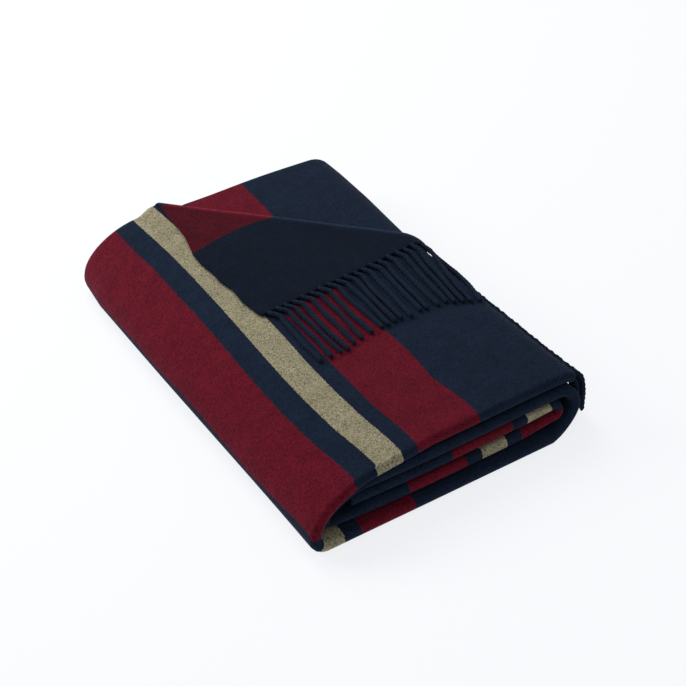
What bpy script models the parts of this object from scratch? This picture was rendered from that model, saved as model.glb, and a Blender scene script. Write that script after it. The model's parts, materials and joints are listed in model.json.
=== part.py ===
# Folded wool throw with twisted fringe, resting on its lowest layer.
#
# The cloth is built as one flat slab and every corner of the slab is then carried to its
# place by cloth_point. The throw is first folded in thirds across its width, which gives a
# band three plies thick, and the band is then wound into a flat spiral of five layers.
# The far right corner of the uppermost ply is turned back over the top.
#
# Units are metres and +Z is up. In the working frame X runs along the short side of the
# bundle, Y runs away from the viewer along the long side, and the floor is at Z = 0.
import math

import bmesh
import bpy
import numpy as np
from mathutils import Matrix, Vector

for old in list(bpy.data.objects):
    bpy.data.objects.remove(old, do_unlink=True)
collection = bpy.data.collections.new("folded_throw")
bpy.context.scene.collection.children.link(collection)

MM = 0.001
NAVY = (0.012, 0.018, 0.034)

# Cloth
PLY = 2.9 * MM
PLY_PITCH = 3.85 * MM
HALF = PLY / 2
LAYER_PITCH = 11.6 * MM
LAYER_HALF = PLY_PITCH + HALF

# Mid heights of the five layers, from the lowest
LEVEL = [LAYER_HALF + k * LAYER_PITCH for k in range(5)]

# Fold in thirds across the width, in flat distances along Y
NEAR_FOLD = 14.0 * MM
FAR_FOLD = 431.5 * MM
REACH = FAR_FOLD - NEAR_FOLD
NEAR_ARC = math.pi * PLY_PITCH
FAR_ARC = math.pi * PLY_PITCH / 2
OVER_RADIUS = 1.5 * PLY_PITCH
Q_UNDER = NEAR_FOLD - NEAR_ARC
Q_TURN = Q_UNDER - REACH
Q_MIDDLE = Q_TURN - FAR_ARC
Q_END = Q_MIDDLE - REACH

# Right side of the spiral
EDGE_X = 278.7 * MM
WRAP_RADIUS = 6.0 * MM
WRAP_Z = LEVEL[3] - WRAP_RADIUS
HANG_RADIUS = WRAP_RADIUS + LAYER_PITCH
WRAP_LOW_X = 255.0 * MM
WRAP_LOW_Z = 27.0 * MM
WRAP_POWER = 1.75
WRAP_OUT_X = 288.0 * MM
WRAP_TOP_X = 275.5 * MM
INNER_RIGHT_X = 265.7 * MM
INNER_RIGHT_Z = 24.9 * MM
INNER_RADIUS = 4.6 * MM
INNER_RISE_X = 225.0 * MM

# Left side of the spiral
LEFT_TOP_X = 82.8 * MM
LEFT_TOP_SPAN = 73.0 * MM
LEFT_LOW_Z = 14.0 * MM
LEFT_LOW_SPAN = 9.0 * MM
INNER_LEFT_RADIUS = 5.0 * MM
INNER_LEFT_PITCH = 9.4 * MM
LAST_LAYER_X = 50.0 * MM
INNER_LEFT_X = 45.0 * MM
PARALLEL_OVER = 30.0 * MM
SHIFT_BEFORE = 50.0 * MM

# The plies are pressed thinner where the layers are tightest
PRESSED_LEFT = 0.64
PRESSED_RIGHT = 0.8
PRESS_OVER = 25.0 * MM
PRESS_BEFORE = 40.0 * MM
PRESS_PAST = 10.0 * MM

# Free end of the cloth, measured along the spiral from a point that hangs at the far right
START_X = 330.0 * MM
END_LINE = 7.0 * MM
END_SKEW = 31.0 * MM
END_STEP = 14.5 * MM
STEP_FROM = 205.0 * MM
STEP_OVER = 57.0 * MM
END_SLOPE_OVER = 185.0 * MM
SKEW_FADE = 225.0 * MM

# How much wider than the fold below it the hanging end bends, by distance along Y
LOOSE_Y = [0.0, 0.070, 0.224, 0.254, 0.290, 0.410]
LOOSENING = [0.10, 0.0, 0.0, 0.10, 0.12, 0.36]

# Turned back corner
CREASE = 544.5 * MM
ROLL = 2.1 * MM
REST_HEIGHT = PLY + 0.9 * MM
NEVER_TURNED = 100.0 * MM
SETTLE = 9.0
SELVEDGE_X = [0.050, 0.100, 0.122, 0.144, 0.173, 0.204, 0.222, 0.241, 0.256, 0.272, 0.296, 0.317,
              0.330]
SELVEDGE_Y = [0.4435, 0.4445, 0.4434, 0.4440, 0.4468, 0.4541, 0.4548, 0.4522, 0.4525, 0.4487,
              0.4498, 0.4469, 0.4430]

# Where the uppermost ply stops bending over the far edge and rises to the turned back tip
TIP_FROM = 74.0 * MM
TIP_OVER = 27.0 * MM
TIP_REACH = 11.0 * MM

# Unevenness of the bundle: sizes, then how fast they go along X and Y, and where they start
LIFT = 0.009
LIFT_WAVE_X = (31.0, 0.6)
LIFT_WAVE_Y = (17.0, 0.4)
RIPPLE = 0.005
RIPPLE_WAVE = (50.0, 23.0)
FAR_LIFT = 0.024
FAR_LIFT_FROM = 280.0 * MM
FAR_LIFT_OVER = 150.0 * MM
SWAY_FROM_FLOOR = 20.0 * MM
SIDE_SWAY = 1.2 * MM
SIDE_WAVE = (19.0, 0.5)
FRONT_SWAY = 0.8 * MM
FRONT_WAVE = (27.0, 1.0)
LEFT_FROM_X = 75.0 * MM
LEFT_OVER = 60.0 * MM
RIGHT_FROM_X = 220.0 * MM
RIGHT_OVER = 70.0 * MM
RIGHT_FROM_Z = 22.0 * MM
RIGHT_OVER_Z = 25.0 * MM
LEFT_Y = [0.20, 0.33, 0.385, 0.44]
LEFT_OUT = [0.0, -1.0 * MM, -1.2 * MM, 4.4 * MM]
RIGHT_Y = [0.0, 0.05, 0.24, 0.28, 0.36, 0.42]
RIGHT_OUT = [-2.0 * MM, -3.8 * MM, -3.4 * MM, 0.4 * MM, 2.6 * MM, 2.2 * MM]

# Places of the folds for each layer, from the lowest, along Y
NEAR_SHIFT = [-17.5 * MM, -8.7 * MM, -4.8 * MM, -3.8 * MM, 0.0]
FAR_SHIFT = [-9.0 * MM, -10.5 * MM, -10.0 * MM, -10.0 * MM, 5.5 * MM]

# Fringe, whose strands are four sided and fused to a narrow strip past the cloth's end
STRAND_WIDTH = 4.0 * MM
STRAND_HEIGHT = 3.6 * MM
STRIP_GAP = 0.5 * MM
STRIP_WIDTH = 2.4 * MM
STRIP_HALF = 1.2 * MM
NEAR_ENOUGH = 0.1 * MM
FLAP_CLEARANCE = 0.6 * MM
OVER_EDGE_X = 286.0 * MM
OVER_EDGE_RISE = 1.8 * MM
OVER_EDGE_OVER = 6.0 * MM
FLAP_SPANS = 6
BOW = 1.2 * MM
BOW_TURN = 1.7
HANG_AT = [0.09, 0.25, 0.5, 1.0]
ROOT_Y = [0.4375, 0.4275, 0.4190, 0.4098, 0.3993, 0.3890, 0.3789, 0.3684, 0.3585, 0.3483,
          0.3378, 0.3280, 0.3178, 0.3073, 0.2954, 0.2837, 0.2739, 0.2649, 0.2559, 0.2470]
TIP_X = [0.1078, 0.1190, 0.1303, 0.1378, 0.1470, 0.1566, 0.1690, 0.1811, 0.1881, 0.1961,
         0.2032, 0.2126, 0.2247, 0.2319, 0.2443, 0.2541, 0.2607, 0.2690, 0.2755, 0.2825]
TIP_Y = [0.1410, 0.1414, 0.1424, 0.1424, 0.1466, 0.1489, 0.1504, 0.1512, 0.1511, 0.1521,
         0.1519, 0.1493, 0.1522, 0.1511, 0.1494, 0.1494, 0.1451, 0.1415, 0.1379, 0.1351]
EDGE_STRANDS = 22
EDGE_FIRST = 19.4 * MM
EDGE_LAST = 226.0 * MM
EDGE_LEAN = -13.0 * MM
EDGE_OUT = 4.9 * MM
UNDER_STRANDS = 40
UNDER_FIRST = 19.6 * MM
UNDER_LAST = 421.0 * MM
UNDER_LEAN = -9.0 * MM
LEAN_OVER = 8.0 * MM
NEAR_OVER = 30.0 * MM
FLOOR_CLEARANCE = 1.4 * MM


def smooth(t):
    t = min(max(t, 0.0), 1.0)
    return t * t * (3 - 2 * t)


# The spiral

def corner(cx, cz, a, b, start, turn, power, count=60):
    """Quarter of a superellipse from angle start, turning by turn, both in quarter turns."""
    points = []
    for i in range(1, count + 1):
        angle = (start + turn * i / count) * math.pi / 2
        c, s = math.cos(angle), math.sin(angle)
        points.append((cx + a * math.copysign(abs(c) ** (2 / power), c),
                       cz + b * math.copysign(abs(s) ** (2 / power), s)))
    return points


def spiral():
    """Dense points of the middle line of the layers, from the hanging end to the last layer."""
    z5, z4, z3, z2, z1 = LEVEL
    line = [(EDGE_X + HANG_RADIUS, WRAP_Z - START_X + EDGE_X + HANG_RADIUS * math.pi / 2)]
    line.append((EDGE_X + HANG_RADIUS, WRAP_Z))
    line += corner(EDGE_X, WRAP_Z, HANG_RADIUS, HANG_RADIUS, 0, 1, 2)
    line.append((LEFT_TOP_X, z1))
    first = len(line) - 1
    line += corner(LEFT_TOP_X, LEFT_LOW_Z, LEFT_TOP_SPAN, z1 - LEFT_LOW_Z, 1, 1, 2, 160)
    outer = line[first:]
    left = LEFT_TOP_X - LEFT_TOP_SPAN
    line += corner(left + LEFT_LOW_SPAN, LEFT_LOW_Z, LEFT_LOW_SPAN, LEFT_LOW_Z - z5, 2, 1, 2)
    line.append((WRAP_LOW_X, z5))
    line += corner(WRAP_LOW_X, WRAP_LOW_Z, WRAP_OUT_X - WRAP_LOW_X, WRAP_LOW_Z - z5,
                   3, 1, WRAP_POWER)
    line += corner(WRAP_TOP_X, WRAP_LOW_Z, WRAP_OUT_X - WRAP_TOP_X, z2 - WRAP_LOW_Z, 0, 1, 2)
    line.append((LEFT_TOP_X, z2))
    # The second turn follows the first one inside it, then closes with a round end.
    for i in range(1, len(outer) - 1):
        dx = outer[i + 1][0] - outer[i - 1][0]
        dz = outer[i + 1][1] - outer[i - 1][1]
        size = math.hypot(dx, dz)
        share = smooth((outer[0][0] - outer[i][0]) / PARALLEL_OVER)
        pitch = LAYER_PITCH + (INNER_LEFT_PITCH - LAYER_PITCH) * share
        x = outer[i][0] - pitch * dz / size
        z = outer[i][1] + pitch * dx / size
        slope = math.atan2(-dz, -dx)
        if z - INNER_LEFT_RADIUS * (1 + math.cos(slope)) < z4:
            break
        line.append((x, z))
    x, z = line[-1]
    cx = x + INNER_LEFT_RADIUS * math.sin(slope)
    cz = z4 + INNER_LEFT_RADIUS
    for i in range(1, 41):
        angle = math.pi / 2 + slope + (math.pi - slope) * i / 40
        line.append((cx + INNER_LEFT_RADIUS * math.cos(angle),
                     cz + INNER_LEFT_RADIUS * math.sin(angle)))
    low = INNER_RIGHT_Z - INNER_RADIUS
    high = INNER_RIGHT_Z + INNER_RADIUS
    for i in range(21):
        x = INNER_RISE_X + (INNER_RIGHT_X - INNER_RISE_X) * i / 20
        line.append((x, z4 + (low - z4) * smooth(i / 20)))
    line += corner(INNER_RIGHT_X, INNER_RIGHT_Z, INNER_RADIUS, INNER_RADIUS, 3, 2, 2)
    for i in range(1, 21):
        x = INNER_RIGHT_X + (INNER_RISE_X - INNER_RIGHT_X) * i / 20
        line.append((x, high + (z3 - high) * smooth(i / 20)))
    line.append((LAST_LAYER_X, z3))
    return np.array(line)


LINE = spiral()
STEP = np.hypot(*np.diff(LINE, axis=0).T)
ALONG = np.concatenate([[0.0], np.cumsum(STEP)])
TURN = np.unwrap(np.arctan2(np.diff(LINE[:, 1]), np.diff(LINE[:, 0])))
LENGTH = float(ALONG[-1])


def spiral_at(s):
    """Point and outward normal of the middle line at distance s."""
    x = float(np.interp(s, ALONG, LINE[:, 0]))
    z = float(np.interp(s, ALONG, LINE[:, 1]))
    if s < 0:
        z += s
    middle = (ALONG[1:] + ALONG[:-1]) / 2
    angle = float(np.interp(s, middle, TURN))
    return x, z, math.sin(angle), -math.cos(angle)


def marks():
    """Distances along the spiral at which each of its stretches ends."""
    out = []
    for x, z in [(EDGE_X + HANG_RADIUS, WRAP_Z), (EDGE_X, LEVEL[4]), (LEFT_TOP_X, LEVEL[4]),
                 (LEFT_TOP_X - LEFT_TOP_SPAN, LEFT_LOW_Z),
                 (LEFT_TOP_X - LEFT_TOP_SPAN + LEFT_LOW_SPAN, LEVEL[0]),
                 (WRAP_LOW_X, LEVEL[0]), (WRAP_OUT_X, WRAP_LOW_Z), (WRAP_TOP_X, LEVEL[3]),
                 (LEFT_TOP_X, LEVEL[3])]:
        k = int(np.argmin(np.hypot(LINE[:, 0] - x, LINE[:, 1] - z)))
        out.append(float(ALONG[k]))
    for z in (INNER_RIGHT_Z - INNER_RADIUS, INNER_RIGHT_Z + INNER_RADIUS):
        k = int(np.argmin(np.hypot(LINE[:, 0] - INNER_RIGHT_X, LINE[:, 1] - z)))
        out.append(float(ALONG[k]))
    return out


(M_HANG, M_TOP, M_LEFT, M_LEFT_LOW, M_BOTTOM, M_RIGHT, M_WRAP, M_SECOND, M_SECOND_LEFT,
 M_FOURTH, M_THIRD) = marks()
M_INNER_LEFT = M_FOURTH - (INNER_RIGHT_X - INNER_LEFT_X)
SHIFT_AT = [M_TOP, M_LEFT - SHIFT_BEFORE, M_BOTTOM, M_RIGHT, M_SECOND, M_SECOND_LEFT,
            M_INNER_LEFT, M_FOURTH, M_THIRD, LENGTH]
SHIFT_LAYER = [4, 4, 0, 0, 3, 3, 1, 1, 2, 2]


def layer_shift(s, table):
    return float(np.interp(s, SHIFT_AT, [table[k] for k in SHIFT_LAYER]))


def pressed(s):
    """How much of their full thickness the plies keep at distance s."""
    into = smooth((s - M_SECOND_LEFT) / PRESS_OVER)
    out_of = smooth((s - M_INNER_LEFT) / PRESS_OVER)
    left = (1 - PRESSED_LEFT) * (into - out_of)
    into = smooth((s - M_FOURTH + PRESS_BEFORE) / PRESS_OVER)
    out_of = smooth((s - M_THIRD - PRESS_PAST) / PRESS_OVER)
    return 1 - left - (1 - PRESSED_RIGHT) * (into - out_of)


# The turned back corner

def skew(y):
    """How far the cloth's end is drawn along the spiral at distance y across the bundle."""
    step = END_STEP * smooth((y - STEP_FROM) / STEP_OVER)
    share = min(max((y - STEP_FROM - STEP_OVER) / END_SLOPE_OVER, 0.0), 1.0)
    return END_SKEW - step - (END_SKEW - END_STEP) * share


def end_distance(u, y):
    """Distance along the spiral of cloth that lies u from the cloth's end."""
    fade = math.cos(math.pi / 2 * min(u / SKEW_FADE, 1.0))
    return END_LINE + u + skew(y) * fade


def selvedge(s):
    return float(np.interp(START_X - s, SELVEDGE_X, SELVEDGE_Y))


def turn_back(x, y, m):
    """Carries a point of the flat uppermost ply over the crease."""
    beyond = (x + y - CREASE) / math.sqrt(2)
    if beyond <= 0:
        return x, y, m
    r = ROLL
    foot_x = x - beyond / math.sqrt(2)
    foot_y = y - beyond / math.sqrt(2)
    if beyond < math.pi * r:
        angle = beyond / r
        advance = (r - m) * math.sin(angle)
        height = r - (r - m) * math.cos(angle)
    else:
        back = beyond - math.pi * r
        settle = smooth(back / (SETTLE * r))
        advance = -back
        height = 2 * r - m - (2 * r - REST_HEIGHT) * settle
    return foot_x + advance / math.sqrt(2), foot_y + advance / math.sqrt(2), height


def over_far_edge(y, n, far):
    """Bends whatever lies beyond the far fold down over it."""
    past = y - far
    if past <= 0:
        return y, n
    radius = n + PLY_PITCH / 2
    quarter = OVER_RADIUS * math.pi / 2
    if past < quarter:
        angle = past / OVER_RADIUS
        return far + radius * math.sin(angle), radius * math.cos(angle) - PLY_PITCH / 2
    return far + radius, -(past - quarter) - PLY_PITCH / 2


def place(s, y, n):
    """Point at distance s along the spiral, y across it and n outward of its middle line."""
    bend = M_TOP - s
    if bend > 0:
        radius = HANG_RADIUS / (1 - float(np.interp(y, LOOSE_Y, LOOSENING)))
        angle = min(bend / radius, math.pi / 2)
        down = max(bend - radius * math.pi / 2, 0.0)
        x = EDGE_X + (radius + n) * math.sin(angle)
        z = LEVEL[4] - radius + (radius + n) * math.cos(angle) - down
    else:
        px, pz, nx, nz = spiral_at(s)
        n *= pressed(s)
        x = px + n * nx
        z = pz + n * nz
    return uneven(x, y, z)


def uneven(x, y, z):
    """Small rises and hollows, none at the floor and most at the top."""
    lift = LIFT * math.sin(x * LIFT_WAVE_X[0] + LIFT_WAVE_X[1])
    lift = lift * math.sin(y * LIFT_WAVE_Y[0] + LIFT_WAVE_Y[1])
    lift = lift + RIPPLE * math.sin(x * RIPPLE_WAVE[0] + y * RIPPLE_WAVE[1])
    lift = lift + FAR_LIFT * smooth((y - FAR_LIFT_FROM) / FAR_LIFT_OVER)
    loose = smooth(z / SWAY_FROM_FLOOR)
    side = SIDE_SWAY * math.sin(y * SIDE_WAVE[0] + SIDE_WAVE[1]) * loose
    front = FRONT_SWAY * math.sin(x * FRONT_WAVE[0] + FRONT_WAVE[1]) * loose
    left = smooth((LEFT_FROM_X - x) / LEFT_OVER)
    side = side + left * float(np.interp(y, LEFT_Y, LEFT_OUT))
    right = smooth((x - RIGHT_FROM_X) / RIGHT_OVER) * smooth((z - RIGHT_FROM_Z) / RIGHT_OVER_Z)
    side = side + right * float(np.interp(y, RIGHT_Y, RIGHT_OUT))
    return x + side, y + front, z * (1 + lift)


def top_y(s, q):
    """Distance across the bundle of row q of the uppermost ply while it lies flat."""
    near = NEAR_FOLD + layer_shift(s, NEAR_SHIFT)
    far = FAR_FOLD + layer_shift(s, FAR_SHIFT)
    if q <= FAR_FOLD:
        return near + (q - NEAR_FOLD) * (far - near) / REACH
    return far + q - FAR_FOLD


def top_q(s, y):
    """Row of the uppermost ply that lies at distance y across the bundle."""
    near = NEAR_FOLD + layer_shift(s, NEAR_SHIFT)
    far = FAR_FOLD + layer_shift(s, FAR_SHIFT)
    if y <= far:
        return NEAR_FOLD + (y - near) * REACH / (far - near)
    return FAR_FOLD + y - far


def top_point(s, q, m):
    """A point of the uppermost ply, whose far part may be turned back."""
    far = FAR_FOLD + layer_shift(s, FAR_SHIFT)
    y = top_y(s, q)
    x = START_X - s
    far += TIP_REACH * smooth((x - TIP_FROM) / TIP_OVER)
    if s < M_LEFT and x + y > CREASE:
        x, y, height = turn_back(x, y, m)
        y, n = over_far_edge(y, PLY_PITCH + height, far)
        return place(START_X - x, y, n)
    y, n = over_far_edge(y, PLY_PITCH + m, far)
    return place(s, y, n)


def cloth_point(s, q, m):
    """Place of the slab's point at s along, q across and m above its middle."""
    if q >= NEAR_FOLD:
        return top_point(s, q, m)
    near = NEAR_FOLD + layer_shift(s, NEAR_SHIFT)
    far = FAR_FOLD + layer_shift(s, FAR_SHIFT)
    reach = far - near
    if q > Q_UNDER:
        angle = (NEAR_FOLD - q) / PLY_PITCH
        radius = PLY_PITCH + m
        return place(s, near - radius * math.sin(angle), radius * math.cos(angle))
    if q >= Q_TURN:
        return place(s, near + (Q_UNDER - q) * reach / REACH, -PLY_PITCH - m)
    if q > Q_MIDDLE:
        radius = PLY_PITCH / 2 + m
        angle = (Q_TURN - q) / (PLY_PITCH / 2)
        return place(s, far + radius * math.sin(angle), -PLY_PITCH / 2 - radius * math.cos(angle))
    return place(s, far - (Q_MIDDLE - q) * reach / REACH, m)


def flat_y(q):
    """Distance across the bundle of slab row q, before any layer is shifted."""
    if q >= NEAR_FOLD:
        return q
    if q > Q_UNDER:
        return NEAR_FOLD
    if q >= Q_TURN:
        return NEAR_FOLD + Q_UNDER - q
    if q > Q_MIDDLE:
        return FAR_FOLD
    return FAR_FOLD - (Q_MIDDLE - q)


# How many spans the slab gets along each stretch of the spiral, and across each ply
RISE = INNER_RIGHT_X - INNER_RISE_X
SPANS_ALONG = [
    (M_HANG, 2), (M_TOP, 6), (M_TOP + 160 * MM, 6), (M_LEFT - 6 * MM, 3),
    (M_LEFT_LOW, 10), (M_BOTTOM, 4), (M_RIGHT, 4), (M_WRAP, 5), (M_SECOND, 4),
    (M_SECOND_LEFT, 4), (M_INNER_LEFT, 10), (M_FOURTH - RISE, 3), (M_FOURTH, 2),
    (M_THIRD, 6), (M_THIRD + RISE, 2), (LENGTH, 3),
]
FAR_ROW = 385.0 * MM
SPANS_ACROSS = [
    (FAR_FOLD, 3), (FAR_ROW, 1), (NEAR_FOLD, 6), (Q_UNDER, 5),
    (Q_UNDER - (FAR_ROW - NEAR_FOLD), 4), (Q_TURN, 1), (Q_MIDDLE, 4),
    (Q_MIDDLE - (FAR_FOLD - FAR_ROW), 1), (Q_END, 5),
]

# Further cuts across each ply, along Y, in the part of the slab that hangs at its end
HANGING_SPAN = 70.0 * MM
HANGING_CUTS = [0.050, 0.205, 0.216, 0.228, 0.240, 0.254, 0.266, 0.290, 0.390]
ROLL_CUTS = [0.0, 0.17, 0.33, 0.5, 0.67, 0.83, 1.0]
SETTLE_CUTS = [0.35, 0.65, 1.0]


def cuts(first, table):
    """Places of the cuts that give each stretch of a table its number of spans."""
    places = []
    at = first
    for end, count in table:
        places += [at + (end - at) * i / count for i in range(1, count + 1)]
        at = end
    return places[:-1]


def slab(size_from, size_to, x_cuts, y_cuts):
    """A closed box between two corners, cut across at the given places."""
    mesh = bmesh.new()
    bmesh.ops.create_cube(mesh, size=1.0)
    low, high = Vector(size_from), Vector(size_to)
    for v in mesh.verts:
        for axis in range(3):
            v.co[axis] = low[axis] + (high[axis] - low[axis]) * (v.co[axis] + 0.5)
    for normal, places in (((1, 0, 0), x_cuts), ((0, 1, 0), y_cuts)):
        for place_at in places:
            bmesh.ops.bisect_plane(mesh, geom=mesh.verts[:] + mesh.edges[:] + mesh.faces[:],
                                   dist=0.01 * MM, plane_co=Vector(normal) * place_at,
                                   plane_no=normal)
    return mesh


def cut_hanging(mesh):
    """Cuts the hanging end finer, so that its slanted edge keeps to the fringe."""
    rows = list(HANGING_CUTS)
    rows += [Q_UNDER - (y - NEAR_FOLD) for y in HANGING_CUTS]
    rows += [Q_MIDDLE - (FAR_FOLD - y) for y in HANGING_CUTS]
    for row in rows:
        faces = [f for f in mesh.faces if all(v.co.x < HANGING_SPAN for v in f.verts)]
        edges = {e for f in faces for e in f.edges}
        verts = {v for f in faces for v in f.verts}
        bmesh.ops.bisect_plane(mesh, geom=list(verts) + list(edges) + faces, dist=0.5 * MM,
                               plane_co=(0, row, 0), plane_no=(0, 1, 0))


def skew_slab(mesh):
    """Gives the slab its slanted end and its free selvedge."""
    for v in mesh.verts:
        s = end_distance(v.co.x, flat_y(v.co.y))
        if v.co.y > FAR_FOLD:
            share = (v.co.y - FAR_FOLD) / (SELVEDGE_Y[0] - FAR_FOLD)
            v.co.y = FAR_FOLD + (selvedge(s) - FAR_FOLD) * share
        v.co.x = s


def cut_crease(mesh):
    """Cuts the uppermost ply along lines that run with the crease, so that it can roll."""
    across = Vector((-1, 1, 0)).normalized()
    crease = Vector((START_X - CREASE, 0, 0))
    offsets = [math.pi * ROLL * share for share in ROLL_CUTS]
    offsets += [math.pi * ROLL + SETTLE * ROLL * share for share in SETTLE_CUTS]
    far = {v for v in mesh.verts if v.co.y > NEVER_TURNED}
    for v in far:
        v.co.y = top_y(v.co.x, v.co.y)
    for offset in offsets:
        at = crease + across * offset
        faces = []
        for face in mesh.faces:
            sides = [across.dot(v.co - at) for v in face.verts]
            if min(sides) < 0 < max(sides) and all(v.co.x < M_LEFT for v in face.verts):
                faces.append(face)
        edges = {e for f in faces for e in f.edges}
        verts = {v for f in faces for v in f.verts}
        bmesh.ops.bisect_plane(mesh, geom=list(verts) + list(edges) + faces, dist=0.05 * MM,
                               plane_co=at, plane_no=across)
    for v in mesh.verts:
        if v in far or v.co.y > 2 * NEVER_TURNED:
            v.co.y = top_q(v.co.x, v.co.y)


def add(name, mesh, color):
    """Puts a closed mesh into the collection as an object with a material of its own."""
    bmesh.ops.triangulate(mesh, faces=mesh.faces)
    bmesh.ops.recalc_face_normals(mesh, faces=mesh.faces)
    data = bpy.data.meshes.new(name)
    mesh.to_mesh(data)
    mesh.free()
    mat = bpy.data.materials.new(name + "_wool")
    mat.use_nodes = True
    surface = mat.node_tree.nodes["Principled BSDF"]
    surface.inputs["Base Color"].default_value = (*color, 1.0)
    surface.inputs["Roughness"].default_value = 0.95
    surface.inputs["Metallic"].default_value = 0.0
    mat.diffuse_color = (*color, 1.0)
    data.materials.append(mat)
    obj = bpy.data.objects.new(name, data)
    collection.objects.link(obj)
    return obj


def blanket():
    mesh = slab((0, Q_END, -HALF), (LENGTH - END_LINE, SELVEDGE_Y[0], HALF),
                [s - END_LINE for s in cuts(END_LINE, SPANS_ALONG)],
                cuts(SELVEDGE_Y[0], SPANS_ACROSS))
    cut_hanging(mesh)
    skew_slab(mesh)
    cut_crease(mesh)
    for v in mesh.verts:
        v.co = cloth_point(v.co.x, v.co.y, v.co.z)
    return add("blanket", mesh, NAVY)


# The fringe

def fringe(name, starts, q_of, route):
    """A strip along the cloth's end with a strand drawn out of it at each start along Y.

    q_of gives the slab row at a distance across the bundle, and route the later middle
    points and upward directions of the strand that starts there.
    """
    starts = sorted(starts)
    first = starts[0] - (starts[1] - starts[0]) / 2
    last = starts[-1] + (starts[-1] - starts[-2]) / 2
    sides = [y + side * STRAND_WIDTH / 2 for y in starts for side in (-1, 1)]
    mesh = slab((STRIP_GAP, first, -STRIP_HALF),
                (STRIP_GAP + STRIP_WIDTH, last, STRIP_HALF), [], sides)
    outer = STRIP_GAP + STRIP_WIDTH - NEAR_ENOUGH
    roots = []
    for y in starts:
        roots += [f for f in mesh.faces if all(v.co.x > outer for v in f.verts)
                  and abs(f.calc_center_median().y - y) < NEAR_ENOUGH]
    for v in mesh.verts:
        y = v.co.y
        v.co = cloth_point(end_distance(0.0, y) - v.co.x, q_of(y), v.co.z)
    for y, face in zip(starts, roots):
        last_middle = face.calc_center_median()
        middles, ups = route(y)
        line = [last_middle] + middles
        for i in range(1, len(line)):
            ahead = line[min(i + 1, len(line) - 1)] - line[i - 1]
            side = ahead.cross(ups[i - 1]).normalized() * STRAND_WIDTH / 2
            up = side.cross(ahead).normalized() * STRAND_HEIGHT / 2
            new = bmesh.ops.extrude_discrete_faces(mesh, faces=[face])["faces"][0]
            centre = new.calc_center_median()
            for v in new.verts:
                offset = v.co - centre
                v.co = (line[i] + side * math.copysign(1, offset.dot(side))
                        + up * math.copysign(1, offset.dot(up)))
            face = new
    add(name, mesh, NAVY)


def flap_route(y):
    """A strand of the turned back corner, lying on the cloth beneath it."""
    k = ROOT_Y.index(y)
    beyond_roll = math.pi * ROLL / math.sqrt(2) - STRIP_GAP - STRIP_WIDTH
    first_x = CREASE - y + math.pi * ROLL / math.sqrt(2)
    first_y = CREASE - START_X + end_distance(0.0, y) + beyond_roll
    middles = []
    ups = []
    for i in range(1, FLAP_SPANS + 1):
        t = i / FLAP_SPANS
        bow = BOW * math.sin(math.pi * t) * math.sin(BOW_TURN * k)
        x = first_x + (TIP_X[k] - first_x) * t + bow
        along = first_y + (TIP_Y[k] - first_y) * t
        n = LAYER_HALF + FLAP_CLEARANCE + STRAND_HEIGHT / 2
        n += OVER_EDGE_RISE * smooth((x - OVER_EDGE_X) / OVER_EDGE_OVER)
        at = Vector(place(START_X - x, along, n))
        middles.append(at)
        ups.append(Vector(place(START_X - x, along, n + MM)) - at)
    return middles, ups


def hang_route(y, first_n, last_n, lean):
    """A strand that hangs outside the right side and leans along it, down to the floor."""
    middles = []
    ups = []
    s = end_distance(0.0, y) - STRIP_GAP - STRIP_WIDTH
    drop = s - (FLOOR_CLEARANCE + STRAND_WIDTH / 2 - spiral_at(0.0)[1])
    lean *= smooth(y / NEAR_OVER)
    for t in HANG_AT:
        at = s - drop * t
        shift = first_n + (last_n - first_n) * smooth(t / HANG_AT[1])
        along = y + lean * (1 - math.exp(-drop * t / LEAN_OVER))
        middle = Vector(place(at, along, shift))
        middles.append(middle)
        ups.append(Vector(place(at, along, shift + MM)) - middle)
    return middles, ups


def edge_route(y):
    return hang_route(y, PLY_PITCH, EDGE_OUT, EDGE_LEAN)


def under_route(y):
    return hang_route(y, 0.0, 0.0, UNDER_LEAN)


def under_q(y):
    return Q_MIDDLE - (FAR_FOLD - y)


def spread(first, last, count):
    return [first + (last - first) * k / (count - 1) for k in range(count)]


blanket()
fringe("fringe_flap", ROOT_Y, float, flap_route)
fringe("fringe_edge", spread(EDGE_FIRST, EDGE_LAST, EDGE_STRANDS), float, edge_route)
fringe("fringe_under", spread(UNDER_FIRST, UNDER_LAST, UNDER_STRANDS), under_q, under_route)

# The origin goes below the middle of the whole thing, on the floor.
corners = [v.co for obj in collection.objects for v in obj.data.vertices]
middle = [(min(c[axis] for c in corners) + max(c[axis] for c in corners)) / 2 for axis in range(2)]
to_origin = Matrix.Translation((-middle[0], -middle[1], 0))
for obj in collection.objects:
    obj.data.transform(to_origin)
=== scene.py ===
import json
import math

import bmesh
import bpy
import numpy as np
from mathutils import Matrix, Vector

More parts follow.
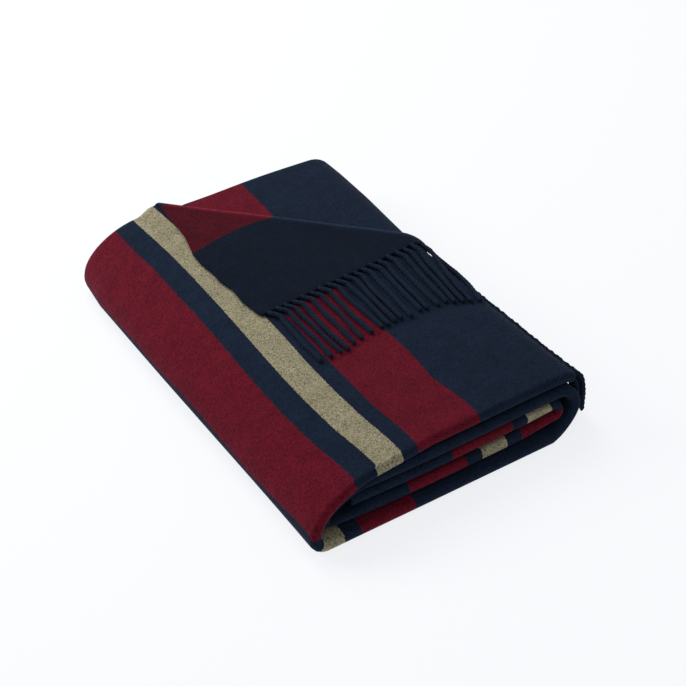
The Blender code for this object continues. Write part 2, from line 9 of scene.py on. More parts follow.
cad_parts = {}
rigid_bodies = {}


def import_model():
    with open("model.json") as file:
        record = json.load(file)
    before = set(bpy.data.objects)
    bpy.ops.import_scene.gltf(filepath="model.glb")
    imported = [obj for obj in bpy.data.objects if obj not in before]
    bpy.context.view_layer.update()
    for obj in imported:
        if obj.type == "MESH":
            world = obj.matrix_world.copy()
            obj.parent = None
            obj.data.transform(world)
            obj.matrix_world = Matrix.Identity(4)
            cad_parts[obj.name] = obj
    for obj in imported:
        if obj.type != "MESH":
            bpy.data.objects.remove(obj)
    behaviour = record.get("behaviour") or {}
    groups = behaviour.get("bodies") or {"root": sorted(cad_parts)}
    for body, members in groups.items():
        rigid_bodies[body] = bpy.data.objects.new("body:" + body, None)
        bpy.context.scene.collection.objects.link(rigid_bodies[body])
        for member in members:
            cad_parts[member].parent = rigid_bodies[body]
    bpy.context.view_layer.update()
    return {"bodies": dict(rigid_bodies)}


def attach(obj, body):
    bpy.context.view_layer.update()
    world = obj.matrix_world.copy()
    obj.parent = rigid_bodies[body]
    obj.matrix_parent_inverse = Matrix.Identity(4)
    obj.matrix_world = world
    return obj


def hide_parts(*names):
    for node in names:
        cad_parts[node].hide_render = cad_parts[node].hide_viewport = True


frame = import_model()

MM = 0.001

# Middle of the bundle in the frame in which the folds are measured
MIDDLE = (156.1838 * MM, 219.2802 * MM)

# Cloth
PLY_PITCH = 3.85 * MM
HALF = 1.62 * MM
LAYER_PITCH = 11.6 * MM
LAYER_HALF = 5.3 * MM
LEVEL = [LAYER_HALF + k * LAYER_PITCH for k in range(5)]

# Fold in thirds across the width
NEAR_FOLD = 14.0 * MM
FAR_FOLD = 431.5 * MM
REACH = FAR_FOLD - NEAR_FOLD
OVER_RADIUS = 1.5 * PLY_PITCH
Q_UNDER = NEAR_FOLD - math.pi * PLY_PITCH
Q_TURN = Q_UNDER - REACH
Q_MIDDLE = Q_TURN - math.pi * PLY_PITCH / 2
Q_END = Q_MIDDLE - REACH

# Right side of the spiral
EDGE_X = 278.7 * MM
WRAP_RADIUS = 6.0 * MM
WRAP_Z = LEVEL[3] - WRAP_RADIUS
HANG_RADIUS = WRAP_RADIUS + LAYER_PITCH
WRAP_LOW_X = 255.0 * MM
WRAP_LOW_Z = 27.0 * MM
WRAP_POWER = 1.75
WRAP_OUT_X = 288.0 * MM
WRAP_TOP_X = 275.5 * MM
INNER_RIGHT_X = 265.7 * MM
INNER_RIGHT_Z = 24.9 * MM
INNER_RADIUS = 4.6 * MM
INNER_RISE_X = 225.0 * MM

# Left side of the spiral
LEFT_TOP_X = 82.8 * MM
LEFT_TOP_SPAN = 73.0 * MM
LEFT_LOW_Z = 14.0 * MM
LEFT_LOW_SPAN = 9.0 * MM
INNER_LEFT_RADIUS = 5.0 * MM
INNER_LEFT_PITCH = 9.4 * MM
LAST_LAYER_X = 50.0 * MM
INNER_LEFT_X = 45.0 * MM
PARALLEL_OVER = 30.0 * MM
SHIFT_BEFORE = 50.0 * MM
PRESSED_LEFT = 0.64
PRESSED_RIGHT = 0.8
PRESS_OVER = 25.0 * MM
PRESS_BEFORE = 40.0 * MM
PRESS_PAST = 10.0 * MM

# Fringed end and turned back corner
START_X = 330.0 * MM
END_LINE = 7.0 * MM
END_SKEW = 31.0 * MM
END_STEP = 14.5 * MM
STEP_FROM = 205.0 * MM
STEP_OVER = 57.0 * MM
END_SLOPE_OVER = 185.0 * MM
SKEW_FADE = 225.0 * MM
CREASE = 544.5 * MM
ROLL = 2.1 * MM
REST_HEIGHT = 3.8 * MM
NEVER_TURNED = 100.0 * MM
SETTLE = 9.0
LOOSE_Y = [0.0, 0.070, 0.224, 0.254, 0.290, 0.410]
LOOSENING = [0.10, 0.0, 0.0, 0.10, 0.12, 0.36]
SELVEDGE_X = [0.050, 0.100, 0.122, 0.144, 0.173, 0.204, 0.222, 0.241, 0.256, 0.272, 0.296, 0.317,
              0.330]
SELVEDGE_Y = [0.4435, 0.4445, 0.4434, 0.4440, 0.4468, 0.4541, 0.4548, 0.4522, 0.4525, 0.4487,
              0.4498, 0.4469, 0.4430]
TIP_FROM = 74.0 * MM
TIP_OVER = 27.0 * MM
TIP_REACH = 11.0 * MM
NEAR_SHIFT = [-17.5 * MM, -8.7 * MM, -4.8 * MM, -3.8 * MM, 0.0]
FAR_SHIFT = [-9.0 * MM, -10.5 * MM, -10.0 * MM, -10.0 * MM, 5.5 * MM]

# Unevenness of the bundle: sizes, then how fast they go along X and Y, and where they start
LIFT = 0.009
LIFT_WAVE_X = (31.0, 0.6)
LIFT_WAVE_Y = (17.0, 0.4)
RIPPLE = 0.005
RIPPLE_WAVE = (50.0, 23.0)
FAR_LIFT = 0.024
FAR_LIFT_FROM = 280.0 * MM
FAR_LIFT_OVER = 150.0 * MM
SWAY_FROM_FLOOR = 20.0 * MM
SIDE_SWAY = 1.2 * MM
SIDE_WAVE = (19.0, 0.5)
FRONT_SWAY = 0.8 * MM
FRONT_WAVE = (27.0, 1.0)
LEFT_FROM_X = 75.0 * MM
LEFT_OVER = 60.0 * MM
RIGHT_FROM_X = 220.0 * MM
RIGHT_OVER = 70.0 * MM
RIGHT_FROM_Z = 22.0 * MM
RIGHT_OVER_Z = 25.0 * MM
LEFT_Y = [0.20, 0.33, 0.385, 0.44]
LEFT_OUT = [0.0, -1.0 * MM, -1.2 * MM, 4.4 * MM]
RIGHT_Y = [0.0, 0.05, 0.24, 0.28, 0.36, 0.42]
RIGHT_OUT = [-2.0 * MM, -3.8 * MM, -3.4 * MM, 0.4 * MM, 2.6 * MM, 2.2 * MM]

# Bands along the cloth: name of the colour and where it ends, in millimetres
BANDS = [
    ("navy", 147.5), ("burgundy", 208.5), ("navy", 226.5), ("tan", 257.0), ("navy", 275.0),
    ("burgundy", 329.0), ("navy", 342.0), ("tan", 361.0), ("navy", 377.5), ("burgundy", 435.0),
    ("navy", 986.0), ("burgundy", 1046.0), ("navy", 1062.5), ("tan", 1090.0), ("navy", 1107.0),
    ("burgundy", 1155.0), ("navy", 1168.0), ("tan", 1196.0), ("navy", 1214.0),
    ("burgundy", 1275.0), ("navy", 1400.0),
]
COLORS = {"navy": (0.0098, 0.0175, 0.0360), "burgundy": (0.132, 0.0070, 0.0168),
          "tan": (0.335, 0.300, 0.190)}
SPECKS = {"navy": (0.0040, 0.0072, 0.0150), "burgundy": (0.040, 0.0040, 0.0090),
          "tan": (0.085, 0.080, 0.060)}

# Painted light on the turned back flap: the colour factor of the painted shade past the crease,
# of the painted highlight along the crease, and the distance over which the highlight fades into
# the shade
FLAP_PAINTED_SHADE = 0.54
CREASE_PAINTED_HIGHLIGHT = 2.3
HIGHLIGHT_INTO_SHADE_OVER = 8.0 * MM

# How far the bands wander on the uppermost ply, by distance across and along, in millimetres
WANDER_Q = [14, 32, 70, 110, 150, 190, 230, 270, 310, 350, 390, 425, 450]
WANDER_S = [147, 209, 228, 258, 276, 330]
WANDER = [
    [-0.5, -0.5, 5.0, 0.0, 0.0, -1.5, -2.0, -4.0, -6.0, -9.3, -6.5, -12.5, -20.0],
    [-0.5, -0.5, 3.5, 2.0, 1.0, -1.0, -2.0, -2.0, -2.0, -2.0, 0.0, 1.0, 4.0],
    [-1.0, -0.5, 3.0, 3.7, 2.5, -0.5, -2.0, -2.0, -2.0, -1.0, 0.5, 2.0, 3.0],
    [-2.0, -1.0, 3.0, 4.0, 3.0, 1.0, -1.0, -2.0, -2.0, -1.0, 1.0, 3.0, 3.0],
    [-2.0, -1.0, 3.0, 4.0, 3.0, 1.0, -1.0, -2.0, -1.0, -1.0, 1.0, 3.0, 3.0],
    [-2.0, -2.0, 1.0, 3.0, 1.0, -1.0, -1.0, 1.0, 1.0, 3.0, 4.0, 5.0, 5.0],
]
WANDER_END = 330.0 * MM
WANDER_END_OVER = 40.0 * MM
WANDER_FAR = -14.0 * MM
WANDER_FAR_END = 200.0 * MM
WANDER_FAR_OVER = 62.0 * MM

# Camera, in the frame of the folds
CAMERA_AT = Vector((-428.4, -714.7, 890.0)) * MM
CAMERA_AHEAD = Vector((0.4266, 0.6532, -0.6256))
CAMERA_RIGHT = Vector((0.8372, -0.5469, 0.0))
CAMERA_LENS = 77.66

# Lights: name, place, what they point at, size, power and colour
LIGHTS = [
    ("key", (0.2, 1.9, 2.1), (0, 0, 0), 1.6, 44, (1.0, 0.985, 0.96)),
    ("rim", (-1.05, 1.15, 0.85), (-0.1, 0.2, 0), 0.8, 17, (1.0, 0.99, 0.97)),
]

# Fringe
STRAND_RADIUS = 2.4 * MM
STRAND_TURN = 10.5 * MM
STRAND_STEP = 1.5 * MM
STRAND_SIDES = 12
LOBE = 0.78
LOBE_OFFSET = 0.22
ROOT_Y = [0.4375, 0.4275, 0.4190, 0.4098, 0.3993, 0.3890, 0.3789, 0.3684, 0.3585, 0.3483,
          0.3378, 0.3280, 0.3178, 0.3073, 0.2954, 0.2837, 0.2739, 0.2649, 0.2559, 0.2470]
TIP_X = [0.1078, 0.1190, 0.1303, 0.1378, 0.1470, 0.1566, 0.1690, 0.1811, 0.1881, 0.1961,
         0.2032, 0.2126, 0.2247, 0.2319, 0.2443, 0.2541, 0.2607, 0.2690, 0.2755, 0.2825]
TIP_Y = [0.1410, 0.1414, 0.1424, 0.1424, 0.1466, 0.1489, 0.1504, 0.1512, 0.1511, 0.1521,
         0.1519, 0.1493, 0.1522, 0.1511, 0.1494, 0.1494, 0.1451, 0.1415, 0.1379, 0.1351]
EDGE_STRANDS = 22
EDGE_FIRST = 19.4 * MM
EDGE_LAST = 226.0 * MM
EDGE_LEAN = -13.0 * MM
UNDER_STRANDS = 40
UNDER_FIRST = 19.6 * MM
UNDER_LAST = 421.0 * MM
UNDER_LEAN = -9.0 * MM
EDGE_OUT = 4.8 * MM
EDGE_HUMP = 2.6 * MM
LEAN_OVER = 8.0 * MM
OVER_EDGE_X = 286.0 * MM
OVER_EDGE_RISE = 0.4 * MM
OVER_EDGE_OVER = 6.0 * MM
NEAR_OVER = 30.0 * MM
FLOOR_CLEARANCE = 1.4 * MM
ROOT_INSIDE = 5.0 * MM
HANGING_STEPS = 12
HANGING_POWER = 1.5
HANGING_WAVE = 0.7 * MM
HUMP_AT = 7.0 * MM
HUMP_WIDTH = 5.0 * MM


def smooth(t):
    t = np.clip(t, 0.0, 1.0)
    return t * t * (3 - 2 * t)


# The spiral

def corner(cx, cz, a, b, start, turn, power, count=60):
    angle = (start + turn * np.arange(1, count + 1) / count) * math.pi / 2
    c, s = np.cos(angle), np.sin(angle)
    return list(zip(cx + a * np.sign(c) * np.abs(c) ** (2 / power),
                    cz + b * np.sign(s) * np.abs(s) ** (2 / power)))


def spiral():
    """Points of the middle line of the layers, from the hanging end to the last layer."""
    z5, z4, z3, z2, z1 = LEVEL
    line = [(EDGE_X + HANG_RADIUS, WRAP_Z - START_X + EDGE_X + HANG_RADIUS * math.pi / 2)]
    line.append((EDGE_X + HANG_RADIUS, WRAP_Z))
    line += corner(EDGE_X, WRAP_Z, HANG_RADIUS, HANG_RADIUS, 0, 1, 2)
    line.append((LEFT_TOP_X, z1))
    first = len(line) - 1
    line += corner(LEFT_TOP_X, LEFT_LOW_Z, LEFT_TOP_SPAN, z1 - LEFT_LOW_Z, 1, 1, 2, 160)
    outer = line[first:]
    left = LEFT_TOP_X - LEFT_TOP_SPAN
    line += corner(left + LEFT_LOW_SPAN, LEFT_LOW_Z, LEFT_LOW_SPAN, LEFT_LOW_Z - z5, 2, 1, 2)
    line.append((WRAP_LOW_X, z5))
    line += corner(WRAP_LOW_X, WRAP_LOW_Z, WRAP_OUT_X - WRAP_LOW_X,
                   WRAP_LOW_Z - z5, 3, 1, WRAP_POWER)
    line += corner(WRAP_TOP_X, WRAP_LOW_Z, WRAP_OUT_X - WRAP_TOP_X, z2 - WRAP_LOW_Z, 0, 1, 2)
    line.append((LEFT_TOP_X, z2))
    for i in range(1, len(outer) - 1):
        dx = outer[i + 1][0] - outer[i - 1][0]
        dz = outer[i + 1][1] - outer[i - 1][1]
        size = math.hypot(dx, dz)
        share = smooth((outer[0][0] - outer[i][0]) / PARALLEL_OVER)
        pitch = LAYER_PITCH + (INNER_LEFT_PITCH - LAYER_PITCH) * share
        x = outer[i][0] - pitch * dz / size
        z = outer[i][1] + pitch * dx / size
        slope = math.atan2(-dz, -dx)
        if z - INNER_LEFT_RADIUS * (1 + math.cos(slope)) < z4:
            break
        line.append((x, z))
    x, z = line[-1]
    cx = x + INNER_LEFT_RADIUS * math.sin(slope)
    cz = z4 + INNER_LEFT_RADIUS
    for i in range(1, 41):
        angle = math.pi / 2 + slope + (math.pi - slope) * i / 40
        line.append((cx + INNER_LEFT_RADIUS * math.cos(angle),
                     cz + INNER_LEFT_RADIUS * math.sin(angle)))
    low = INNER_RIGHT_Z - INNER_RADIUS
    high = INNER_RIGHT_Z + INNER_RADIUS
    for i in range(21):
        x = INNER_RISE_X + (INNER_RIGHT_X - INNER_RISE_X) * i / 20
        line.append((x, z4 + (low - z4) * smooth(i / 20)))
    line += corner(INNER_RIGHT_X, INNER_RIGHT_Z, INNER_RADIUS, INNER_RADIUS, 3, 2, 2)
    for i in range(1, 21):
        x = INNER_RIGHT_X + (INNER_RISE_X - INNER_RIGHT_X) * i / 20
        line.append((x, high + (z3 - high) * smooth(i / 20)))
    line.append((LAST_LAYER_X, z3))
    return np.array(line, dtype=float)


LINE = spiral()
ALONG = np.concatenate([[0.0], np.cumsum(np.hypot(*np.diff(LINE, axis=0).T))])
TURN = np.unwrap(np.arctan2(np.diff(LINE[:, 1]), np.diff(LINE[:, 0])))
TURN_AT = (ALONG[1:] + ALONG[:-1]) / 2
LENGTH = float(ALONG[-1])


def nearest(x, z):
    return float(ALONG[int(np.argmin(np.hypot(LINE[:, 0] - x, LINE[:, 1] - z)))])


M_TOP = nearest(EDGE_X, LEVEL[4])
M_LEFT = nearest(LEFT_TOP_X, LEVEL[4])
M_BOTTOM = nearest(LEFT_TOP_X - LEFT_TOP_SPAN + LEFT_LOW_SPAN, LEVEL[0])
M_RIGHT = nearest(WRAP_LOW_X, LEVEL[0])
M_SECOND = nearest(WRAP_TOP_X, LEVEL[3])
M_SECOND_LEFT = nearest(LEFT_TOP_X, LEVEL[3])
M_FOURTH = nearest(INNER_RIGHT_X, INNER_RIGHT_Z - INNER_RADIUS)
M_THIRD = nearest(INNER_RIGHT_X, INNER_RIGHT_Z + INNER_RADIUS)
M_INNER_LEFT = M_FOURTH - (INNER_RIGHT_X - INNER_LEFT_X)
SHIFT_AT = [M_TOP, M_LEFT - SHIFT_BEFORE, M_BOTTOM, M_RIGHT, M_SECOND, M_SECOND_LEFT,
            M_INNER_LEFT, M_FOURTH, M_THIRD, LENGTH]
SHIFT_LAYER = [4, 4, 0, 0, 3, 3, 1, 1, 2, 2]


def spiral_at(s):
    x = np.interp(s, ALONG, LINE[:, 0])
    z = np.interp(s, ALONG, LINE[:, 1]) + np.minimum(s, 0.0)
    angle = np.interp(s, TURN_AT, TURN)
    return x, z, np.sin(angle), -np.cos(angle)


def layer_shift(s, table):
    return np.interp(s, SHIFT_AT, [table[k] for k in SHIFT_LAYER])


def pressed(s):
    """How much of their full thickness the plies keep at distance s."""
    left = smooth((s - M_SECOND_LEFT) / PRESS_OVER) - smooth((s - M_INNER_LEFT) / PRESS_OVER)
    right = smooth((s - M_FOURTH + PRESS_BEFORE) / PRESS_OVER)
    right = right - smooth((s - M_THIRD - PRESS_PAST) / PRESS_OVER)
    return 1 - (1 - PRESSED_LEFT) * left - (1 - PRESSED_RIGHT) * right


def skew(y):
    step = END_STEP * smooth((y - STEP_FROM) / STEP_OVER)
    slope = (END_SKEW - END_STEP) * np.clip((y - STEP_FROM - STEP_OVER) / END_SLOPE_OVER, 0, 1)
    return END_SKEW - step - slope


def end_distance(u, y):
    """Distance along the spiral of cloth that lies u from the cloth's end."""
    return END_LINE + u + skew(y) * np.cos(math.pi / 2 * np.minimum(u / SKEW_FADE, 1.0))


def turn_back(x, y, m):
    """Carries points of the flat uppermost ply over the crease."""
    beyond = (x + y - CREASE) / math.sqrt(2)
    r = ROLL
    angle = np.clip(beyond / r, 0.0, math.pi)
    back = np.maximum(beyond - math.pi * r, 0.0)
    settle = smooth(back / (SETTLE * r))
    rolled = beyond < math.pi * r
    advance = np.where(rolled, (r - m) * np.sin(angle), -back)
    height = np.where(rolled, r - (r - m) * np.cos(angle),
                      2 * r - m - (2 * r - REST_HEIGHT) * settle)
    flat = beyond <= 0
    new_x = np.where(flat, x, x - beyond / math.sqrt(2) + advance / math.sqrt(2))
    new_y = np.where(flat, y, y - beyond / math.sqrt(2) + advance / math.sqrt(2))
    return new_x, new_y, np.where(flat, m, height)


def over_far_edge(y, n, far):
    """Bends whatever lies beyond the far fold down over it."""
    past = y - far
    quarter = OVER_RADIUS * math.pi / 2
    radius = n + PLY_PITCH / 2
    angle = np.clip(past / OVER_RADIUS, 0.0, math.pi / 2)
    drop = np.maximum(past - quarter, 0.0)
    bent_y = far + radius * np.sin(angle)
    bent_n = radius * np.cos(angle) - PLY_PITCH / 2 - drop
    return np.where(past > 0, bent_y, y), np.where(past > 0, bent_n, n)


def uneven(x, y, z):
    """Small rises and hollows, none at the floor and most at the top."""
    lift = LIFT * np.sin(x * LIFT_WAVE_X[0] + LIFT_WAVE_X[1])
    lift = lift * np.sin(y * LIFT_WAVE_Y[0] + LIFT_WAVE_Y[1])
    lift = lift + RIPPLE * np.sin(x * RIPPLE_WAVE[0] + y * RIPPLE_WAVE[1])
    lift = lift + FAR_LIFT * smooth((y - FAR_LIFT_FROM) / FAR_LIFT_OVER)
    loose = smooth(z / SWAY_FROM_FLOOR)
    side = SIDE_SWAY * np.sin(y * SIDE_WAVE[0] + SIDE_WAVE[1]) * loose
    front = FRONT_SWAY * np.sin(x * FRONT_WAVE[0] + FRONT_WAVE[1]) * loose
    left = smooth((LEFT_FROM_X - x) / LEFT_OVER)
    side = side + left * np.interp(y, LEFT_Y, LEFT_OUT)
    right = smooth((x - RIGHT_FROM_X) / RIGHT_OVER) * smooth((z - RIGHT_FROM_Z) / RIGHT_OVER_Z)
    side = side + right * np.interp(y, RIGHT_Y, RIGHT_OUT)
    return x + side, y + front, z * (1 + lift)


def top_y(s, q):
    """Distance across the bundle of row q of the uppermost ply while it lies flat."""
    near = NEAR_FOLD + layer_shift(s, NEAR_SHIFT)
    far = FAR_FOLD + layer_shift(s, FAR_SHIFT)
    return np.where(q <= FAR_FOLD, near + (q - NEAR_FOLD) * (far - near) / REACH,
                    far + q - FAR_FOLD)


def top_q(s, y):
    """Row of the uppermost ply that lies at distance y across the bundle."""
    near = NEAR_FOLD + layer_shift(s, NEAR_SHIFT)
    far = FAR_FOLD + layer_shift(s, FAR_SHIFT)
    return np.where(y <= far, NEAR_FOLD + (y - near) * REACH / (far - near), FAR_FOLD + y - far)


def place(s, y, n):
    """Points at distance s along the spiral, y across it and n outward of its middle line."""
    px, pz, nx, nz = spiral_at(s)
    thin = n * pressed(s)
    radius = HANG_RADIUS / (1 - np.interp(y, LOOSE_Y, LOOSENING))
    bend = np.maximum(M_TOP - s, 0.0)
    angle = np.minimum(bend / radius, math.pi / 2)
    down = np.maximum(bend - radius * math.pi / 2, 0.0)
    hanging = bend > 0
    x = np.where(hanging, EDGE_X + (radius + n) * np.sin(angle), px + thin * nx)
    z = np.where(hanging, LEVEL[4] - radius + (radius + n) * np.cos(angle) - down,
                 pz + thin * nz)
    return uneven(x, y, z)


def cloth(s, q, m):
    """Places of the flat cloth's points, in the frame of the folds."""
    near = NEAR_FOLD + layer_shift(s, NEAR_SHIFT)
    far = FAR_FOLD + layer_shift(s, FAR_SHIFT)
    stretch = (far - near) / REACH
    # uppermost ply
    y = np.where(q <= FAR_FOLD, near + (q - NEAR_FOLD) * stretch, far + q - FAR_FOLD)
    x = START_X - s
    turned = (s < M_LEFT) & (x + y > CREASE)
    tx, ty, height = turn_back(x, y, m)
    ts = np.where(turned, START_X - tx, s)
    ty = np.where(turned, ty, y)
    tn = PLY_PITCH + np.where(turned, height, m)
    ty, tn = over_far_edge(ty, tn, far + TIP_REACH * smooth((x - TIP_FROM) / TIP_OVER))
    # near nose, lower ply, far fold and middle ply
    nose = (NEAR_FOLD - q) / PLY_PITCH
    nose_y = near - (PLY_PITCH + m) * np.sin(nose)
    nose_n = (PLY_PITCH + m) * np.cos(nose)
    low_y = near + (Q_UNDER - q) * stretch
    fold = (Q_TURN - q) / (PLY_PITCH / 2)
    fold_y = far + (PLY_PITCH / 2 + m) * np.sin(fold)
    fold_n = -PLY_PITCH / 2 - (PLY_PITCH / 2 + m) * np.cos(fold)
    mid_y = far - (Q_MIDDLE - q) * stretch
    which = [q >= NEAR_FOLD, q > Q_UNDER, q >= Q_TURN, q > Q_MIDDLE]
    new_s = np.where(which[0], ts, s)
    new_y = np.select(which, [ty, nose_y, low_y, fold_y], mid_y)
    new_n = np.select(which, [tn, nose_n, -PLY_PITCH - m, fold_n], m)
    return np.stack(place(new_s, new_y, new_n), axis=-1)


def to_frame(points):
    return points - np.array([MIDDLE[0], MIDDLE[1], 0.0])


# The sheet

def stations(first, table):
    """Places that give each stretch of a table its greatest spacing, ends included."""
    places = [first]
    for end, spacing in table:
        count = max(1, math.ceil(abs(end - places[-1]) / spacing))
        start = places[-1]
        places += [start + (end - start) * i / count for i in range(1, count + 1)]
    return np.array(places)


def flat_y(q):
    return np.select([q >= NEAR_FOLD, q > Q_UNDER, q >= Q_TURN, q > Q_MIDDLE],
                     [q, NEAR_FOLD, NEAR_FOLD + Q_UNDER - q, FAR_FOLD], FAR_FOLD - (Q_MIDDLE - q))


def selvedge(s):
    return np.interp(START_X - s, SELVEDGE_X, SELVEDGE_Y)


def wander(s, q):
    """How far the bands stand off their usual place along the cloth."""
    rows = [np.interp(q / MM, WANDER_Q, row) * MM for row in WANDER]
    top = rows[0]
    for k in range(1, len(rows)):
        into = smooth((s / MM - WANDER_S[k - 1]) / (WANDER_S[k] - WANDER_S[k - 1]))
        top = top + (rows[k] - top) * into
    top = top * (1 - smooth((s - WANDER_END) / WANDER_END_OVER))
    early = 1 - smooth((s - WANDER_FAR_END) / WANDER_FAR_OVER)
    low = WANDER_FAR * np.clip((Q_UNDER - q) / REACH, 0, 1) * early
    mid = WANDER_FAR * np.clip(1 - (Q_MIDDLE - q) / REACH, 0, 1) * early
    return np.select([q >= NEAR_FOLD, q >= Q_TURN], [top, low], mid)


def blanket():
    rim = np.radians([90, 62, 34, 10])
    ends = HALF * (1 - np.cos(rim))
    thick = np.sin(rim)
    length = LENGTH - END_LINE
    inner = stations(ends[0], [
        (M_LEFT - END_LINE, 4.4 * MM), (M_BOTTOM - END_LINE, 3.4 * MM),
        (M_RIGHT - END_LINE, 11 * MM), (M_SECOND - END_LINE, 2.6 * MM),
        (M_SECOND_LEFT - END_LINE, 11 * MM), (M_INNER_LEFT - END_LINE, 2.9 * MM),
        (M_FOURTH - 45 * MM - END_LINE, 10 * MM), (M_FOURTH - END_LINE, 5 * MM),
        (M_THIRD - END_LINE, 1.8 * MM), (M_THIRD + 40 * MM - END_LINE, 5 * MM),
        (length - HALF, 11 * MM)])
    u = np.concatenate([ends[:0:-1], inner, length - ends[1:]])
    u_thick = np.concatenate([thick[:0:-1], np.ones(len(inner)), thick[1:]])
    top_q = stations(SELVEDGE_Y[0] - HALF, [
        (FAR_FOLD, 2 * MM), (60 * MM, 4.6 * MM), (NEAR_FOLD, 3 * MM), (Q_UNDER, 1.0 * MM),
        (Q_UNDER - 30 * MM, 6 * MM), (Q_TURN + 30 * MM, 24 * MM), (Q_TURN, 8 * MM),
        (Q_MIDDLE, 1.0 * MM), (Q_MIDDLE - 120 * MM, 6 * MM), (Q_END + HALF, 24 * MM)])
    # one loop round the sheet's section: upper side, rim, lower side, rim
    turn = np.radians([60, 30, 0, -30, -60])
    loop_q = np.concatenate([top_q, Q_END + HALF - HALF * np.cos(turn), top_q[::-1],
                             SELVEDGE_Y[0] - HALF + HALF * np.cos(turn)])
    loop_m = np.concatenate([np.ones(len(top_q)), np.sin(turn), -np.ones(len(top_q)),
                             -np.sin(turn)]) * HALF
    grid_u, grid_q = np.meshgrid(u, loop_q, indexing="ij")
    grid_m = u_thick[:, None] * loop_m[None, :]
    s = end_distance(grid_u, flat_y(grid_q))
    past = grid_q > FAR_FOLD
    share = (grid_q - FAR_FOLD) / (SELVEDGE_Y[0] - FAR_FOLD)
    grid_q = np.where(past, FAR_FOLD + (selvedge(s) - FAR_FOLD) * share, grid_q)
    flat = np.stack([s, grid_q, grid_m], axis=-1).reshape(-1, 3)
    rows, around = grid_m.shape
    at = np.arange(rows * around).reshape(rows, around)
    after = np.roll(at, -1, axis=1)
    faces = np.stack([at[:-1], after[:-1], after[1:], at[1:]], axis=-1).reshape(-1, 4).tolist()
    count = len(top_q)
    for row, flip in ((0, True), (rows - 1, False)):
        line = at[row]
        for i in range(count - 1):
            j = 2 * count + 5 - 1 - i
            quad = [line[i], line[i + 1], line[j - 1], line[j]]
            faces.append([int(v) for v in (quad[::-1] if flip else quad)])
        for side in (range(count - 1, count + 6), range(2 * count + 4, 2 * count + 11)):
            ring = [int(line[i % around]) for i in side]
            faces.append(ring[::-1] if flip else ring)
    mesh = bpy.data.meshes.new("cloth")
    mesh.from_pydata(flat.tolist(), [], faces)
    work = bmesh.new()
    work.from_mesh(mesh)
    cut_crease(work)
    work.to_mesh(mesh)
    work.free()
    flat = np.empty(len(mesh.vertices) * 3)
    mesh.vertices.foreach_get("co", flat)
    flat = flat.reshape(-1, 3)
    s, q, m = flat.T
    mesh.vertices.foreach_set("co", to_frame(cloth(s, q, m)).ravel())
    mesh.update()
    woven = mesh.attributes.new("woven", "FLOAT_VECTOR", "POINT")
    woven.data.foreach_set("vector", np.stack([s - wander(s, q), q, m], axis=-1).ravel())
    # painted light on the turned back flap: a painted highlight along the crease that fades into
    # painted shade past it
    past = (START_X - s + top_y(s, q) - CREASE) / math.sqrt(2)
    painted_shade_share = smooth((past - math.pi * ROLL / 2) / HIGHLIGHT_INTO_SHADE_OVER)
    turned = (m < 0) & (s < M_LEFT) & (q > NEVER_TURNED) & (past > 0)
    nap_and_painted_light = mesh.attributes.new("nap_and_painted_light", "FLOAT", "POINT")
    nap_and_painted_light.data.foreach_set("value", np.where(turned, 1 + (FLAP_PAINTED_SHADE - 1) * painted_shade_share
                                           + (CREASE_PAINTED_HIGHLIGHT - 1) * (1 - painted_shade_share), 1.0))
    mesh.shade_smooth()
    obj = bpy.data.objects.new("cloth", mesh)
    bpy.context.collection.objects.link(obj)
    return obj


def cut_crease(mesh):
    """Cuts the uppermost ply along lines that run with the crease, so that it rolls smoothly."""
    across = Vector((-1, 1, 0)).normalized()
    crease = Vector((START_X - CREASE, 0, 0))
    offsets = [math.pi * ROLL * k / 12 for k in range(-1, 16)]
    offsets += [math.pi * ROLL * (1.3 + 0.3 * k) for k in range(1, 8)]
    far = {v for v in mesh.verts if v.co.y > NEVER_TURNED}
    for v in far:
        v.co.y = float(top_y(v.co.x, v.co.y))
    chosen = [f for f in mesh.faces
              if all(v.co.y > NEVER_TURNED and v.co.x < M_LEFT for v in f.verts)]
    for offset in offsets:
        near_it = []
        for f in chosen:
            side = [(v.co - crease).dot(across) - offset for v in f.verts]
            if min(side) < 0 < max(side):
                near_it.append(f)
        edges = {e for f in near_it for e in f.edges}
        verts = {v for f in near_it for v in f.verts}
        before = set(near_it)
        cut = bmesh.ops.bisect_plane(mesh, geom=list(verts) + list(edges) + near_it,
                                     dist=0.1 * MM, plane_co=crease + across * offset,
                                     plane_no=across)
        chosen = [f for f in chosen if f.is_valid and f not in before]
        chosen += [f for f in cut["geom"] if isinstance(f, bmesh.types.BMFace)]
    for v in mesh.verts:
        if v in far or v.co.y > 2 * NEVER_TURNED:
            v.co.y = float(top_q(v.co.x, v.co.y))


# The fringe

def strand_rings(path, ups, radius, phase, taper):
    """Rings of a two ply twisted strand along a path of points."""
    path = np.array(path)
    ahead = np.gradient(path, axis=0)
    ahead /= np.linalg.norm(ahead, axis=1)[:, None]
    side = np.cross(ahead, ups)
    side /= np.linalg.norm(side, axis=1)[:, None]
    up = np.cross(side, ahead)
    run = np.concatenate([[0.0], np.cumsum(np.linalg.norm(np.diff(path, axis=0), axis=1))])
    around = np.arange(STRAND_SIDES) / STRAND_SIDES * 2 * math.pi
    rings = []
    for i, point in enumerate(path):
        twist = phase + run[i] / STRAND_TURN * 2 * math.pi
        a = around - twist
        reach = LOBE_OFFSET * np.abs(np.cos(a))
        reach = reach + np.sqrt(LOBE ** 2 - (LOBE_OFFSET * np.sin(a)) ** 2)
        r = radius * taper[i] * reach
        rings.append(point + side[i] * (np.cos(around) * r)[:, None]
                     + up[i] * (np.sin(around) * r)[:, None])
    return np.array(rings), run


